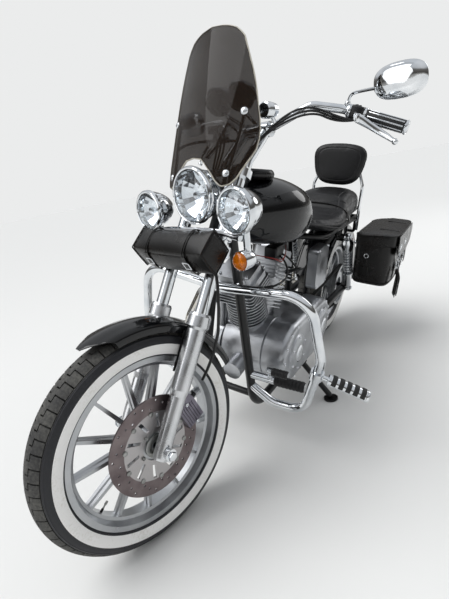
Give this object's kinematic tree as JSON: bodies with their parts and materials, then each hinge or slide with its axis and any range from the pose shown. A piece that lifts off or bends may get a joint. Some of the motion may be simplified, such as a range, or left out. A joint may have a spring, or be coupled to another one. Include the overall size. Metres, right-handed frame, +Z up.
{
  "type": "cruiser motorcycle",
  "caption": "Two-up cruiser motorcycle with a windshield, engine guard, backrest and saddlebags, parked leaning on its side stand with the bars turned.",
  "frame": {"origin": "on the ground under the middle of the parked motorcycle", "axes": "+X forward, +Y to the rider's left, +Z up; the motorcycle leans to +Y on its side stand"},
  "size_m": [2.2822, 1.1812, 1.409],
  "materials": {
    "tyre_rubber": "matte",
    "wheel_alloy": "satin",
    "disc_steel": "brushed",
    "fork_alloy": "polished",
    "chrome_trim": "polished",
    "black_paint": "gloss",
    "frame_paint": "satin",
    "silver_covers": "satin",
    "control_rubber": "matte",
    "gauge_case": "gloss",
    "smoked_screen": "gloss",
    "black_leather": "satin",
    "lamp_lens": "gloss"
  },
  "bodies": {
    "front_wheel": {"front_tyre": "tyre_rubber", "front_rim": "wheel_alloy", "front_disc": "disc_steel"},
    "rear_wheel": {"rear_tyre": "tyre_rubber", "rear_rim": "wheel_alloy", "rear_pulley": "disc_steel"},
    "steering": {"fork_sliders": "fork_alloy", "front_axle": "chrome_trim", "fork_tubes": "fork_alloy", "front_fender": "black_paint", "brake_caliper": "frame_paint", "headlamp": "chrome_trim", "passing_lamps": "chrome_trim", "handlebar": "chrome_trim", "grips_levers": "control_rubber", "mirrors": "chrome_trim", "gauges": "gauge_case", "windshield": "smoked_screen", "fork_bag": "black_leather", "brake_hose": "control_rubber"},
    "frame": {"frame_tubes": "frame_paint", "engine_cases": "silver_covers", "cylinders": "silver_covers", "primary_cover": "silver_covers", "air_cleaner": "chrome_trim", "exhaust": "chrome_trim", "fuel_tank": "black_paint", "tank_console": "gauge_case", "saddle": "black_leather", "rear_fender": "black_paint", "rear_lamps": "lamp_lens", "backrest_bar": "chrome_trim", "backrest_pad": "black_leather", "left_bag": "black_leather", "right_bag": "black_leather", "swingarm": "frame_paint", "shocks": "chrome_trim", "side_covers": "silver_covers", "engine_guard": "chrome_trim", "highway_pegs": "chrome_trim", "foot_controls": "control_rubber", "drive_belt": "control_rubber"},
    "left_bag_lid": {"left_bag_lid": "black_leather"},
    "right_bag_lid": {"right_bag_lid": "black_leather"},
    "side_stand": {"side_stand": "frame_paint"}
  },
  "joints": [
    {"name": "steer", "type": "hinge", "parent": "frame", "child": "steering", "pos_m": [0.7657, -0.11292, 0.29635], "axis": [-0.5017, 0.1872, 0.8446], "range_deg": [-21.5, 54.5]},
    {"name": "front_spin", "type": "hinge", "parent": "steering", "child": "front_wheel", "pos_m": [0.81878, -0.124, 0.33034], "axis": [0.2457, 0.9669, -0.0684], "continuous": true},
    {"name": "rear_spin", "type": "hinge", "parent": "frame", "child": "rear_wheel", "pos_m": [-0.76891, -0.10902, 0.31395], "axis": [0, 0.9763, -0.2164], "continuous": true},
    {"name": "stand_fold", "type": "hinge", "parent": "frame", "child": "side_stand", "pos_m": [-0.04665, 0.00873, 0.15203], "axis": [0.082, 0.7544, 0.6513], "range_deg": [0, 93.73]},
    {"name": "left_lid", "type": "hinge", "parent": "frame", "child": "left_bag_lid", "pos_m": [-0.73459, 0.15275, 0.61685], "axis": [1, 0.0004, 0.0019], "range_deg": [0, 95]},
    {"name": "right_lid", "type": "hinge", "parent": "frame", "child": "right_bag_lid", "pos_m": [-0.73459, -0.21825, 0.69909], "axis": [-1, -0.0004, -0.0019], "range_deg": [0, 95]}
  ]
}
